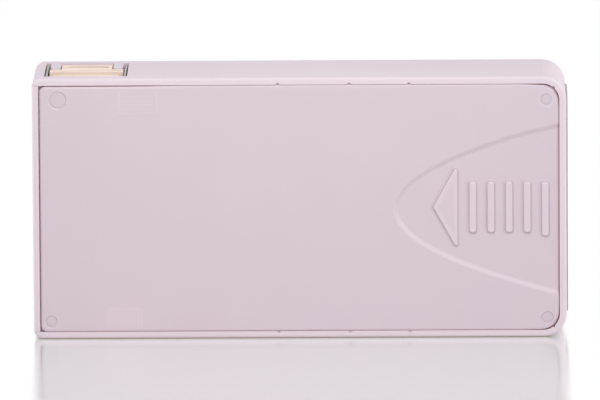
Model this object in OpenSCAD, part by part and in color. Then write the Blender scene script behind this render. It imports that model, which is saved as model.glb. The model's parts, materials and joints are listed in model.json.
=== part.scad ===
// Two-cell power bank with a sliding battery cover.
// Every piece is drawn with the case lying on its front face: x runs along the case from the
// socket end, y across it, and z up from the front face to the cover. stand() then sets the
// case on its long edge, centred on the origin, with the cover facing -Y.

/* [Cells] */
// Diameter of one sleeved cell
cell_d = 18.4; // [17:0.1:21]
// Length of one cell, from cap to base
cell_len = 65.2; // [60:0.1:75]
// Gap between the two cells
cell_gap = 1; // [0.4:0.1:3]
// Gap between a cell and the side wall
cell_side = 1.15; // [0.5:0.05:3]
// Least height of a cell over the case floor
cell_rise = 0.5; // [0.3:0.05:2]
// Room between a cell and the cover
cell_head = 0.5; // [0.3:0.05:2]
// Thickness of the shrink sleeve
sleeve_t = 0.2; // [0.1:0.05:0.4]
// Diameter of the positive cap
cap_d = 8.4; // [6:0.1:10]
// Height of the positive cap over the can
cap_h = 1.2; // [0.8:0.1:2]
// Thickness of the insulating ring round the cap
ring_t = 0.25; // [0.15:0.05:0.4]
// Depth of the crimp groove near the cap
crimp_depth = 0.5; // [0.2:0.05:0.8]

/* [Case] */
// Thickness of the front wall
front_wall = 1.6; // [1.2:0.1:2.5]
// Thickness of the low wall at the socket end
end_wall = 1.1; // [0.9:0.05:2]
// Thickness of the wall at the far end
back_wall = 2; // [1.6:0.1:3]
// Width of the rim that frames the cover
rim = 1.2; // [1:0.05:2]
// Width of the ledge that the cover slides on
ledge = 1.2; // [0.8:0.05:2]
// Corner radius at the socket end
near_r = 1.7; // [1.1:0.1:2]
// Corner radius at the far end
far_r = 4; // [3:0.1:6]
// Rounding of the edges of the front face
edge_r = 1; // [0.5:0.1:1.3]
// Rounding of the rim's outer edge
rim_r = 0.5; // [0.2:0.05:0.6]
// Thickness of the wall between the cells and the circuit board
partition_t = 1.6; // [1:0.1:3]
// Thickness of the ribs that cradle the cells
saddle_t = 1.6; // [1:0.1:3]
// Height of the ribs that cradle the cells
saddle_h = 6; // [4:0.1:9]
// Diameter of the half-round notches in the rim
notch_d = 0.6; // [0.5:0.1:1.2]
// Height of the pad on the far end
pad_h = 37.8; // [30:0.1:39]
// Width of the pad on the far end
pad_w = 14; // [8:0.1:16]
// Thickness of the pad on the far end
pad_t = 0.6; // [0.4:0.05:0.8]
// How far the pad stands out of the far end
pad_proud = 0.25; // [0.1:0.05:0.3]

/* [Cover] */
// Thickness of the sliding cover
cover_t = 1.5; // [1.3:0.05:2.5]
// Gap between the cover and the rim
cover_gap = 0.15; // [0.1:0.05:0.4]
// Width of the seam between the cover's face and the bar at its near end
cover_end_gap = 0.35; // [0.2:0.05:0.8]
// Depth of that seam
seam_depth = 1; // [0.5:0.05:1.1]
// Corner radius of the cover at the socket end
cover_near_r = 0.8; // [0.5:0.1:1.5]
// Rounding of the cover's outer edge
cover_edge_r = 0.4; // [0.1:0.05:0.5]
// Extra rounding of the cover's far corners over the rim's
corner_ease = 0.2; // [0:0.05:1]
// Thickness of the tongues that run in the case
tongue_t = 0.7; // [0.5:0.05:0.9]
// Reach of the tongues past the cover's edge
tongue_w = 0.5; // [0.4:0.05:0.7]
// Running clearance of the tongues
slide_gap = 0.1; // [0.05:0.05:0.2]
// Depth of the thumb recess
recess_depth = 0.45; // [0.3:0.05:0.8]
// Length of the thumb recess
recess_len = 27.8; // [24:0.2:36]
// Height of the thumb recess at the cover's end
recess_h = 29; // [24:0.2:32]
// Height of the raised arrow and ribs over the recess
grip_h = 0.4; // [0.2:0.05:0.7]
// Distance from the recess's tip to the arrow's tip
arrow_at = 6.15; // [5:0.05:9]
// Length of the arrow
arrow_len = 4.4; // [3:0.1:6]
// Height of the arrow across the cover
arrow_h = 13.4; // [8:0.1:16]
// Number of grip ribs
rib_count = 5; // [3:1:5]
// Spacing of the grip ribs
rib_pitch = 3.1; // [2.4:0.05:3.3]
// Width of a grip rib
rib_w = 1.3; // [0.8:0.05:1.6]
// Length of a grip rib
rib_len = 8.9; // [6:0.1:12]
// Diameter of the small ejector marks
mark_d = 2.1; // [1.5:0.1:3]
// Diameter of the large ejector mark
large_mark_d = 3.2; // [2:0.1:4]

/* [Sockets] */
// Width of the socket block's steel shell
socket_w = 13.7; // [13.5:0.1:16]
// Height of the socket block over the board
socket_h = 15.6; // [15.6:0.1:18]
// Depth of the socket block
socket_d = 13.5; // [12.5:0.1:16]
// Thickness of the steel shells
shell_t = 0.3; // [0.2:0.05:0.4]
// Gap between the socket block and its opening
socket_fit = 0.25; // [0.15:0.05:0.5]
// Depth of the cut-back corners beside the input socket's nose
socket_recess = 1.6; // [1:0.05:2]
// Height of the output socket's mouth
mouth_h = 5.12; // [5:0.01:5.3]
// Depth of the output socket's mouth
mouth_d = 9.5; // [8.8:0.1:10]
// Width of the output socket's tongue
tongue_x = 11.1; // [10.6:0.05:11.4]
// Thickness of the output socket's tongue
tongue_z = 1.9; // [1.7:0.05:2.1]
// Width of the input socket's nose
nose_w = 8.6; // [8.4:0.1:9.5]
// Height of the input socket's nose
nose_h = 5.9; // [5.5:0.1:7.4]
// Width of the input socket's mouth
input_w = 7; // [6.8:0.05:7.2]
// Height of the input socket's mouth
input_h = 2; // [1.85:0.05:2.2]
// Depth of the input socket's mouth
input_d = 5.4; // [5:0.1:6]

/* [Circuit board] */
// Thickness of the board
board_t = 1; // [0.8:0.1:1.6]
// Height of the board over the case floor
board_rise = 1.2; // [1.2:0.05:2]
// Gap between the board and the walls
board_gap = 0.3; // [0.2:0.05:0.5]
// Thickness of the inner deck over the board
deck_t = 1.1; // [0.8:0.05:1.6]
// Gap between the inner deck and the cover
deck_gap = 0.4; // [0.3:0.05:1]
// Diameter of the screw bosses
boss_d = 4.6; // [4:0.1:5]
// Diameter of the screws
screw_d = 1.6; // [1.4:0.1:2]
// Length of the screws under the head
screw_len = 7; // [5:0.5:9]
// Diameter of the screw heads
head_d = 3.4; // [2.8:0.1:3.8]
// Height of the screw heads
head_h = 1.1; // [0.8:0.1:1.4]

/* [Button and lights] */
// Diameter of the power button
button_d = 6; // [5:0.1:6.5]
// Travel of the power button
button_travel = 0.25; // [0.15:0.01:0.3]
// Clearance round the power button
button_gap = 0.1; // [0.05:0.01:0.2]
// Diameter of the indicator lights
light_d = 1.5; // [1.2:0.1:2]
// Number of indicator lights
light_count = 4; // [2:1:4]
// Spacing of the indicator lights
light_pitch = 3.2; // [2.6:0.1:3.4]

/* [Contacts and lead] */
// Thickness of the contact plates
plate_t = 0.4; // [0.3:0.05:0.6]
// Height of the contact plates
plate_h = 15; // [13:0.1:16]
// Height of the dimples on the positive plate
dimple_h = 1; // [0.6:0.1:1.5]
// Length of the compressed springs
spring_len = 4; // [3.6:0.1:7]
// Diameter of the spring wire
spring_wire = 0.8; // [0.5:0.05:0.8]
// Outer diameter of a spring at its plate
spring_big_d = 11.6; // [10.5:0.1:13]
// Outer diameter of a spring at its cell
spring_small_d = 5.6; // [5:0.1:6]
// Turns of a spring
spring_turns = 3; // [2:1:3]
// Diameter of the insulated lead
lead_d = 1.5; // [1:0.1:1.8]

/* [Hidden] */

$fn = 64;
// Overlap of cutters past the surfaces that they cut
eps = 0.5;
// Clearance between pieces that nest in each other
nest = 0.02;

// Stations along z: floor, board, socket block, underside and outside of the cover
floor_z = front_wall;
board_z = floor_z + board_rise;
board_top = board_z + board_t;
socket_top = board_top + socket_h;
deck_seat = 0.1;
under_z = max(floor_z + cell_rise + cell_d + cell_head, socket_top + deck_seat + deck_t + deck_gap);
cell_z = under_z - cell_head - cell_d / 2;
deck_z = under_z - deck_gap - deck_t;
ledge_z = under_z - slide_gap;
case_depth = under_z + cover_t;

// Stations along y: walls and cells
side_wall = rim + ledge;
case_height = 2 * (side_wall + cell_side + cell_d) + cell_gap;
mid_y = case_height / 2;
cell_offset = (cell_d + cell_gap) / 2;

// Shape of a cell's ends
can_bevel = 0.6;
crimp_at = 3;
crimp_slope = 0.6;
crimp_flat = 1;
sleeve_fold = 2.4;
cap_taper = 0.8;

// Stations along x: socket block, partition, plates and far end
socket_side = 1.15;
partition_gap = 0.75;
socket_x = end_wall + socket_side;
socket_mid = socket_x + socket_w / 2;
partition_x = socket_x + socket_w + partition_gap;
bay_x = partition_x + partition_t;
cell_x = bay_x + plate_t + dimple_h;
can_base = cell_len - sleeve_t;
bay_end = cell_x + can_base + spring_len + plate_t;
case_length = bay_end + back_wall;
whole_length = case_length + pad_proud;
pad_r = 2;

// Cover and its rails
cover_x = end_wall + cover_end_gap;
cover_end = case_length - rim - cover_gap;
cover_len = cover_end - cover_x;
cover_y = rim + cover_gap;
cover_h = case_height - 2 * cover_y;
cover_far_r = far_r - rim - cover_gap + corner_ease;
tongue_start = 0.6;
groove_stop = 1;
groove_end = case_length - far_r - groove_stop;
groove_depth = tongue_w - cover_gap + 1.5 * slide_gap;
groove_h = tongue_t + 2 * slide_gap;
notch_at = [41.9, 54.1, 64.3];
notch_depth = 0.35;
relief_w = 0.7;
relief_depth = 1.2;
recess_floor = case_depth - recess_depth;
recess_tip = cover_end - recess_len;
recess_points = 48;
arrow_x = recess_tip + arrow_at;
arrow_round = 0.3;
rib_gap = 2.6;
rib_x = arrow_x + arrow_len + rib_gap;
mark_depth = 0.1;
near_mark_in = [1.8, 1.6];
low_mark_in = [1.85, 2];
high_mark_in = [2.1, 2.4];
large_mark_in = [3.1, 2.4];

// Board outline and what stands on it
board_x = end_wall + board_gap;
board_w = partition_x - board_gap - board_x;
board_y = side_wall + board_gap;
board_len = case_height - 2 * board_y;
board_rest = 1.2;
chip_up = 10.4;
inductor_up = 18.4;
ceramic_count = 6;
ceramic_in = 2.2;
ceramic_up = 8.6;
ceramic_pitch = 2.4;
ceramic_len = 1.6;
ceramic_w = 0.8;
ceramic_h = 0.8;
boss_in = [3.2, 3.4];
boss_hole_gap = 0.2;
boss_x = [board_x + boss_in[0], board_x + board_w - boss_in[0]];
boss_y = board_y + boss_in[1];
pilot_gap = 0.025;
pilot_spare = 1;
head_drop = 0.1;
head_room = 0.3;
seat_t = 0.9;
seat_z = deck_z + deck_t - head_drop - head_h;
boss_top = seat_z - seat_t;
deck_edge = 0.2;
deck_end_gap = 0.7;
leg_w = 1.6;
leg_behind = 2.6;
leg_y = case_height - socket_d - leg_behind;

// Socket block
lip = 0.15;
mouth_y = case_height - lip;
corner_y = case_height - socket_recess;
shelf_gap = 0.3;
shelf_in = 0.9;
shelf_r = 0.6;
block_gap = 0.25;
block_side = shell_t + block_gap;
block_z = board_top + shell_t;
nose_top = block_z + nose_h;
nose_x = socket_mid - nose_w / 2;
near_wall = 0.9;
mouth_z = socket_top - shell_t - near_wall - mouth_h;
tongue_rise = 2.3;
tongue_tip = 0.25;
contact_t = 0.2;
contact_w = 1;
contact_in = 0.4;
contact_short = 1.2;
contact_at = [-3.5, -1, 1, 3.5];
input_wall = 0.25;
input_sunk = 0.5;
input_z = block_z + nose_h / 2;
input_slope = 0.9;
input_straight = 1.2;
input_tongue_w = 4.4;
input_tongue_t = 0.6;
input_tongue_tip = 1;
input_pin_pitch = 0.65;
input_pin_in = 0.1;
input_pin_tip = 1.6;
leg_len = 0.4;
leg_size = 1.4;
leg_slot_gap = 0.2;
leg_at = [6, 11.5];

// Button, switch and lights under the board
button_at = [10, 14.5];
button_x = board_x + button_at[0];
button_y = board_y + button_at[1];
button_sink = 0.1;
flange_w = 0.8;
flange_t = 0.4;
flange_gap = 0.02;
flange_top = floor_z + flange_gap + flange_t;
plunger_d = 1.6;
plunger_bite = 0.1;
switch_size = 4.4;
switch_z = flange_top + button_travel + nest;
light_in = 3.6;
light_up = 9.4;
light_x = board_x + light_in;
light_y = board_y + light_up;
guide_t = 0.45;
guide_w = 2.6;
led_len = 1.6;
led_w = 0.8;
led_h = 0.55;

// Contacts, springs and lead
plate_rise = 0.2;
plate_z = floor_z + plate_rise;
plate_bite = 0.6;
plate_slot = 0.1;
dimple_big_d = 6.4;
dimple_small_d = 4;
tab_up = 9.3;
tab_y = board_y + tab_up;
tab_w = 4;
tab_reach = 3;
slot_gap = 0.3;
spring_seat = 0.05;
spring_steps = 16;
lead_rise = 0.15;
lead_low = floor_z + lead_d / 2 + lead_rise;
lead_over = 0.05;
lead_high = board_top + lead_d / 2 + lead_over;
lead_end = 2.6;
lead_bend = 2.5;
lead_steps = 5;

// The case lying on its front face, turned up onto its long edge
module stand() {
    translate([-whole_length / 2, case_depth / 2, 0]) rotate([90, 0, 0]) children();
}

// Turns a piece drawn along z to run along x
module along_x() {
    rotate([0, 90, 0]) children();
}

// What a square corner loses when it is rounded
module corner_cut(r) {
    difference() {
        translate([-eps, -eps]) square(r + eps);
        translate([r, r]) circle(r);
    }
}

// A rectangle with its own radius at each corner, anticlockwise from the origin
module rounded(w, h, radii) {
    corners = [[0, 0], [w, 0], [w, h], [0, h]];
    difference() {
        square([w, h]);
        for (i = [0:3])
            if (radii[i] > 0) translate(corners[i]) rotate(90 * i) corner_cut(radii[i]);
    }
}

// What an edge loses when it is rounded: the edge lies at (r, 0)
module edge_profile(r) {
    difference() {
        translate([0, -eps]) square(r + eps);
        translate([0, r]) circle(r);
    }
}

// Cuts a rounding of radius r along the lower edge of a plate with round corners
module edge_cut(w, h, near, far, r) {
    long = w - near - far;
    sides = [[w - r, h - far, h - 2 * far], [near, h - r, long], [r, near, h - 2 * near], [w - far, r, long]];
    corners = [[w - far, h - far, far], [near, h - near, near], [near, near, near], [w - far, far, far]];
    for (i = [0:3]) {
        translate([sides[i][0], sides[i][1], 0]) rotate([90, 0, 90 * i])
            linear_extrude(sides[i][2]) edge_profile(r);
        translate([corners[i][0], corners[i][1], 0]) rotate(90 * i)
            rotate_extrude(angle = 90) translate([corners[i][2] - r, 0]) edge_profile(r);
    }
}

function unit(v) = v / norm(v);
function along(path, i) = unit(path[min(i + 1, len(path) - 1)] - path[max(i - 1, 0)]);
function ring_of(centre, way, side, r, sides) =
    let (u = unit(cross(way, side)), v = cross(u, way))
    [for (k = [0:sides - 1]) centre + r * (cos(360 * k / sides) * u + sin(360 * k / sides) * v)];

// A round tube along a path that never runs parallel to the direction side
module tube(path, d, side, sides) {
    n = len(path);
    points = [for (i = [0:n - 1]) each ring_of(path[i], along(path, i), side, d / 2, sides)];
    walls = [
        for (i = [0:n - 2], k = [0:sides - 1])
            let (a = i * sides + k, b = i * sides + (k + 1) % sides)
            each [[a, b, b + sides], [a, b + sides, a + sides]]
    ];
    first = [for (k = [1:sides - 2]) [0, k + 1, k]];
    last = [for (k = [1:sides - 2]) (n - 1) * sides * [1, 1, 1] + [0, k, k + 1]];
    polyhedron(points, concat(walls, first, last));
}

// Case

module case_blank() {
    difference() {
        linear_extrude(case_depth) rounded(case_length, case_height, [near_r, far_r, far_r, near_r]);
        edge_cut(case_length, case_height, near_r, far_r, edge_r);
        translate([0, 0, case_depth]) mirror([0, 0, 1])
            edge_cut(case_length, case_height, near_r, far_r, rim_r);
    }
}

// The open side that the cover slides into from the socket end, with a groove along each long wall
module cover_way() {
    opening_r = far_r - rim;
    translate([-eps, rim, ledge_z]) linear_extrude(cover_t + slide_gap + eps)
        rounded(case_length - rim + eps, case_height - 2 * rim, [0, opening_r, opening_r, 0]);
    translate([-eps, rim - groove_depth, ledge_z])
        cube([groove_end + eps, case_height - 2 * (rim - groove_depth), groove_h]);
    for (x = notch_at, y = [rim, case_height - rim])
        translate([x, y, case_depth - notch_depth]) cylinder(d = notch_d, h = notch_depth + eps);
}

// The bay inside the case, with a relief behind the end wall and slots for the contact plates
module bays() {
    inner_h = case_height - 2 * side_wall;
    inner_z = case_depth - floor_z;
    translate([end_wall, side_wall, floor_z]) cube([bay_end - end_wall, inner_h, inner_z]);
    translate([end_wall, rim, ledge_z - relief_depth])
        cube([relief_w, case_height - 2 * rim, relief_depth + eps]);
    for (x = [bay_x, bay_end - plate_t - plate_slot])
        translate([x, side_wall - plate_bite - plate_slot, floor_z])
            cube([plate_t + plate_slot, inner_h + 2 * (plate_bite + plate_slot), inner_z]);
}

// One rib across the cell bay, hollowed for both cells and notched for the lead
module saddle() {
    difference() {
        translate([0, side_wall - eps, floor_z - eps])
            cube([saddle_t, case_height - 2 * side_wall + 2 * eps, saddle_h + eps]);
        for (s = [-1, 1])
            translate([-eps, mid_y + s * cell_offset, cell_z]) along_x()
                cylinder(d = cell_d + slot_gap, h = saddle_t + 2 * eps);
        translate([-eps, mid_y - lead_d / 2 - slot_gap, floor_z])
            cube([saddle_t + 2 * eps, lead_d + 2 * slot_gap, lead_low - floor_z + lead_d / 2 + slot_gap]);
    }
}

module partition_slots() {
    through = partition_t + 2 * eps;
    translate([partition_x - eps, mid_y - lead_d / 2 - slot_gap, floor_z])
        cube([through, lead_d + 2 * slot_gap, lead_high - floor_z + lead_d / 2 + slot_gap]);
    translate([partition_x - eps, tab_y - tab_w / 2 - slot_gap, board_top - slot_gap])
        cube([through, tab_w + 2 * slot_gap, plate_t + 2 * slot_gap]);
}

module case_fittings() {
    saddle_span = bay_end - bay_x - saddle_t;
    difference() {
        translate([partition_x, side_wall - eps, floor_z - eps])
            cube([partition_t, case_height - 2 * side_wall + 2 * eps, deck_z - floor_z + eps]);
        partition_slots();
    }
    for (share = [0.2, 0.5, 0.8]) translate([bay_x + share * saddle_span, 0, 0]) saddle();
    for (y = [side_wall - eps, case_height - side_wall - board_rest])
        translate([end_wall - eps, y, floor_z - eps])
            cube([partition_x - end_wall + 2 * eps, board_rest + eps, board_rise + eps]);
    for (x = boss_x) translate([x, boss_y, floor_z - eps]) cylinder(d = boss_d, h = boss_top - floor_z + eps);
}

// The pad's outline on the far end, grown outwards by gap, and how deep it goes into the wall
module pad_block(gap, depth) {
    w = pad_w + 2 * gap;
    h = pad_h + 2 * gap;
    r = pad_r + gap;
    translate([whole_length - pad_t - gap, mid_y - h / 2, case_depth / 2 + w / 2]) along_x()
        linear_extrude(depth) rounded(w, h, [r, r, r, r]);
}

module end_pad() {
    color("#b2b0b3") pad_block(0, pad_t);
}

// The opening for the sockets, less a tab over each cut-back corner, between the nose and the shell's end
module socket_opening() {
    shelf_w = nose_x - socket_x - shelf_in;
    shelf_h = nose_top - board_top + eps;
    low = board_top - socket_fit;
    difference() {
        translate([socket_x - socket_fit, case_height - side_wall - eps, low])
            cube([socket_w + 2 * socket_fit, side_wall + 2 * eps, socket_h + 2 * socket_fit]);
        for (side = [0, 1]) translate([socket_mid, case_height + eps, low - eps]) mirror([side, 0, 0])
            translate([nose_w / 2 + socket_fit, 0, 0]) rotate([90, 0, 0])
                linear_extrude(socket_recess - shelf_gap + eps)
                    rounded(shelf_w, shelf_h, [0, 0, shelf_r, shelf_r]);
    }
}

module case_holes() {
    pilot = screw_len - seat_t + pilot_spare;
    pad_block(nest, pad_t + eps);
    socket_opening();
    for (x = boss_x)
        translate([x, boss_y, boss_top - pilot]) cylinder(d = screw_d + 2 * pilot_gap, h = pilot + eps);
    translate([button_x, button_y, -eps]) cylinder(d = button_d + 2 * button_gap, h = front_wall + 2 * eps);
    for (i = [0:light_count - 1])
        translate([light_x, light_y + i * light_pitch, -eps])
            cylinder(d = light_d + 2 * nest, h = front_wall + 2 * eps);
}

module case() {
    color("#dbcdd6") difference() {
        union() {
            difference() {
                case_blank();
                cover_way();
                bays();
            }
            case_fittings();
        }
        case_holes();
    }
}

// Sliding cover

// The thumb recess is a parabola that opens towards the far end of the cover
module recess_outline() {
    spill = eps / recess_len;
    half = recess_h / 2;
    polygon([
        for (i = [0:recess_points])
            let (s = (2 * i / recess_points - 1) * sqrt(1 + spill))
            [recess_tip + recess_len * s * s, mid_y + half * s]
    ]);
}

module arrow_outline() {
    half = arrow_h / 2;
    polygon([
        [arrow_x, mid_y],
        [arrow_x + arrow_len - arrow_round, mid_y - half],
        [arrow_x + arrow_len, mid_y - half + arrow_round],
        [arrow_x + arrow_len, mid_y + half - arrow_round],
        [arrow_x + arrow_len - arrow_round, mid_y + half]
    ]);
}

module rib_outline(length) {
    run = length - rib_w;
    translate([-rib_w / 2, -run / 2]) square([rib_w, run]);
    for (s = [-1, 1]) translate([0, s * run / 2]) circle(d = rib_w);
}

module ejector_marks() {
    cover_top = cover_y + cover_h;
    marks = [
        [cover_x + near_mark_in[0], cover_y + near_mark_in[1], mark_d],
        [cover_end - low_mark_in[0], cover_y + low_mark_in[1], mark_d],
        [cover_end - high_mark_in[0], cover_top - high_mark_in[1], mark_d],
        [cover_x + large_mark_in[0], cover_top - large_mark_in[1], large_mark_d]
    ];
    for (mark = marks)
        translate([mark[0], mark[1], case_depth - mark_depth]) cylinder(d = mark[2], h = mark_depth + eps);
}

// The bar at the cover's near end, flush with the rim, and the web that joins it to the cover under the seam
module cover_bar() {
    intersection() {
        case_blank();
        translate([-eps, cover_y, under_z]) cube([end_wall + eps, cover_h, cover_t + eps]);
    }
    translate([end_wall - nest, cover_y + cover_near_r, under_z])
        cube([cover_end_gap + 2 * nest, cover_h - 2 * cover_near_r, cover_t - seam_depth]);
}

module sliding_cover() {
    tongue_len = groove_end - slot_gap - cover_x - tongue_start;
    color("#d9cad4") union() {
        difference() {
            translate([cover_x, cover_y, under_z]) linear_extrude(cover_t)
                rounded(cover_len, cover_h, [cover_near_r, cover_far_r, cover_far_r, cover_near_r]);
            translate([cover_x, cover_y, case_depth]) mirror([0, 0, 1])
                edge_cut(cover_len, cover_h, cover_near_r, cover_far_r, cover_edge_r);
            translate([0, 0, recess_floor]) linear_extrude(recess_depth + eps) recess_outline();
            ejector_marks();
        }
        translate([0, 0, recess_floor - nest]) linear_extrude(grip_h + nest) {
            arrow_outline();
            for (i = [0:rib_count - 1]) translate([rib_x + i * rib_pitch, mid_y]) rib_outline(rib_len);
        }
        for (y = [cover_y - tongue_w, cover_y + cover_h - nest])
            translate([cover_x + tongue_start, y, under_z]) cube([tongue_len, tongue_w + nest, tongue_t]);
        cover_bar();
    }
}

// Inner deck and its screws

module inner_deck() {
    cup_d = head_d + 2 * head_room;
    cup_h = deck_z + deck_t - boss_top;
    deck_x = end_wall + deck_end_gap;
    deck_y = side_wall + deck_edge;
    color("#e6e0e4") difference() {
        union() {
            translate([deck_x, deck_y, deck_z])
                cube([bay_x - deck_edge - deck_x, case_height - 2 * deck_y, deck_t]);
            for (x = boss_x) translate([x, boss_y, boss_top]) cylinder(d = cup_d + 2 * head_room, h = cup_h);
            for (x = [board_x + leg_w / 2, board_x + board_w - 1.5 * leg_w])
                translate([x, leg_y, board_top]) cube([leg_w, leg_w, deck_z - board_top + nest]);
        }
        for (x = boss_x) translate([x, boss_y, 0]) {
            translate([0, 0, seat_z]) cylinder(d = cup_d, h = case_depth);
            cylinder(d = screw_d + 2 * pilot_gap, h = case_depth);
        }
    }
}

module deck_screws() {
    slot_w = 0.5;
    slot_depth = 0.4;
    slot_len = 2.2;
    color("#b9bcc0") for (x = boss_x) translate([x, boss_y, seat_z]) difference() {
        union() {
            cylinder(d = head_d, h = head_h);
            translate([0, 0, -screw_len]) cylinder(d = screw_d, h = screw_len + nest);
        }
        for (turn = [0, 90]) rotate(turn) translate([-slot_len / 2, -slot_w / 2, head_h - slot_depth])
            cube([slot_len, slot_w, slot_depth + eps]);
    }
}

// Circuit board and what is soldered to it

module socket_legs(side, z, h) {
    for (x = [socket_x, socket_x + socket_w - shell_t], y = leg_at)
        translate([x - side, mouth_y - y - side, z]) cube([shell_t + 2 * side, leg_size + 2 * side, h]);
}

module circuit_board() {
    through = board_t + 2 * eps;
    color("#2f6b4a") difference() {
        translate([board_x, board_y, board_z]) cube([board_w, board_len, board_t]);
        for (x = boss_x)
            translate([x, boss_y, board_z - eps]) cylinder(d = boss_d + 2 * boss_hole_gap, h = through);
        socket_legs(leg_slot_gap, board_z - eps, through);
    }
}

module socket_shell() {
    color("#c3c1bd") {
        difference() {
            translate([socket_x, mouth_y - socket_d, board_top]) cube([socket_w, socket_d, socket_h]);
            translate([socket_x + shell_t, mouth_y - socket_d + shell_t, block_z])
                cube([socket_w - 2 * shell_t, socket_d, socket_h - 2 * shell_t]);
            translate([socket_x + shell_t, corner_y, board_top - eps])
                cube([socket_w - 2 * shell_t, socket_recess, nose_top - board_top + eps]);
        }
        socket_legs(0, board_z - leg_len, board_t + leg_len + nest);
    }
}

// Outline of the input mouth, wide side towards the cover, grown outwards by wall
module input_outline(wall) {
    half = input_w / 2 + wall;
    high = input_h / 2 + wall;
    foot = half - input_slope;
    bend = high - wall - input_straight;
    polygon([[-half, high], [half, high], [half, bend], [foot, -high], [-foot, -high], [-half, bend]]);
}

// Extrudes an input outline down into the case from its mouth
module into_case(depth) {
    translate([socket_mid, mouth_y, input_z]) rotate([90, 0, 0]) linear_extrude(depth) children();
}

module socket_block() {
    block_w = socket_w - 2 * block_side;
    back_y = mouth_y - socket_d + shell_t;
    corner_w = (socket_w - nose_w) / 2;
    color("#e8cfb4") difference() {
        union() {
            difference() {
                translate([socket_x + block_side, back_y, block_z])
                    cube([block_w, mouth_y - back_y, socket_h - 2 * shell_t]);
                translate([socket_x, mouth_y - mouth_d, mouth_z]) cube([socket_w, mouth_d + eps, mouth_h]);
                for (x = [socket_x, nose_x + nose_w]) translate([x, corner_y, block_z - eps])
                    cube([corner_w, socket_recess, nose_h + eps]);
            }
            translate([socket_mid - tongue_x / 2, mouth_y - mouth_d - nest, mouth_z + tongue_rise])
                cube([tongue_x, mouth_d - tongue_tip + nest, tongue_z]);
        }
        translate([0, eps, 0]) into_case(input_d + eps) input_outline(input_wall + nest);
    }
}

module output_contacts() {
    contact_len = mouth_d - tongue_tip - contact_in - contact_short;
    contact_y = mouth_y - mouth_d + contact_in;
    color("#d8b45e") for (x = contact_at)
        translate([socket_mid + x - contact_w / 2, contact_y, mouth_z + tongue_rise - contact_t])
            cube([contact_w, contact_len, contact_t]);
}

module input_shell() {
    color("#c3c1bd") translate([0, -input_sunk, 0]) into_case(input_d - input_sunk) difference() {
        input_outline(input_wall);
        input_outline(0);
    }
}

module input_tongue() {
    color("#3a3836") translate([socket_mid - input_tongue_w / 2, mouth_y - input_d, input_z])
        cube([input_tongue_w, input_d - input_tongue_tip, input_tongue_t]);
}

module input_contacts() {
    pin_w = 0.3;
    pin_t = 0.12;
    pin_y = mouth_y - input_d + input_pin_in;
    color("#d8b45e") for (i = [-2:2])
        translate([socket_mid + i * input_pin_pitch - pin_w / 2, pin_y, input_z - pin_t])
            cube([pin_w, input_d - input_pin_tip, pin_t]);
}

module control_chip() {
    chip = [5, 4, 1.5];
    pins = 4;
    pin = [0.4, 0.9, 0.3];
    pin_pitch = 1.27;
    stand_off = 0.1;
    pin_y = chip[1] / 2 + pin[1] / 2 - nest;
    color("#2b2b2d") translate([board_x + board_w / 2, board_y + chip_up, board_top]) {
        translate([-chip[0] / 2, -chip[1] / 2, stand_off]) cube(chip - [0, 0, stand_off]);
        for (i = [0:pins - 1], s = [-1, 1])
            translate([(i - (pins - 1) / 2) * pin_pitch - pin[0] / 2, s * pin_y - pin[1] / 2, 0]) cube(pin);
    }
}

module boost_inductor() {
    size = 5.4;
    height = 3.2;
    end_t = 0.7;
    winding_d = 4.6;
    color("#4a4744") translate([board_x + board_w / 2, board_y + inductor_up, board_top]) {
        cylinder(d = winding_d, h = height);
        for (z = [0, height - end_t]) translate([-size / 2, -size / 2, z]) linear_extrude(end_t)
            rounded(size, size, [1, 1, 1, 1]);
    }
}

module bulk_capacitor() {
    can_d = 4;
    can_h = 5.4;
    foot_h = 0.8;
    foot_r = 0.8;
    can_in = 0.15;
    behind_socket = 0.8;
    can_y = mouth_y - socket_d - behind_socket - can_d / 2;
    color("#b8bcc2") translate([board_x + board_w / 2, can_y, board_top]) {
        translate([-can_d / 2, -can_d / 2, 0]) linear_extrude(foot_h)
            rounded(can_d, can_d, [foot_r, 0, 0, foot_r]);
        cylinder(d = can_d - 2 * can_in, h = can_h);
    }
}

module small_capacitors() {
    color("#b79a72") for (i = [0:ceramic_count - 1])
        translate([board_x + ceramic_in, board_y + ceramic_up + i * ceramic_pitch, board_top])
            cube([ceramic_len, ceramic_w, ceramic_h]);
}

// Button, switch and lights behind the front wall

module power_button() {
    color("#d2c2cc") translate([button_x, button_y, 0]) {
        translate([0, 0, button_sink]) cylinder(d = button_d, h = flange_top - button_sink);
        translate([0, 0, floor_z + flange_gap]) cylinder(d = button_d + 2 * flange_w, h = flange_t);
    }
}

module switch_plunger() {
    color("#efefec") translate([button_x, button_y, flange_top])
        cylinder(d = plunger_d, h = switch_z - flange_top + plunger_bite);
}

module switch_body() {
    well = plunger_bite + button_travel + nest;
    switch_h = board_z - switch_z;
    color("#3b3b3d") translate([button_x, button_y, switch_z]) difference() {
        translate([-switch_size / 2, -switch_size / 2, 0]) cube([switch_size, switch_size, switch_h]);
        translate([0, 0, -eps]) cylinder(d = plunger_d + 2 * button_gap, h = well + eps);
    }
}

module light_guide() {
    run = (light_count - 1) * light_pitch;
    color("#f4f4f0") {
        translate([light_x - guide_w / 2, light_y - guide_w / 2, floor_z])
            cube([guide_w, run + guide_w, guide_t]);
        for (i = [0:light_count - 1])
            translate([light_x, light_y + i * light_pitch, 0]) cylinder(d = light_d, h = floor_z + nest);
    }
}

module indicator_leds() {
    color("#f0e8c8") for (i = [0:light_count - 1])
        translate([light_x - led_len / 2, light_y + i * light_pitch - led_w / 2, board_z - led_h])
            cube([led_len, led_w, led_h]);
}

// Contacts, springs and lead

module contact_plate() {
    translate([0, side_wall - plate_bite, plate_z])
        cube([plate_t, case_height - 2 * side_wall + 2 * plate_bite, plate_h]);
}

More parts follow.
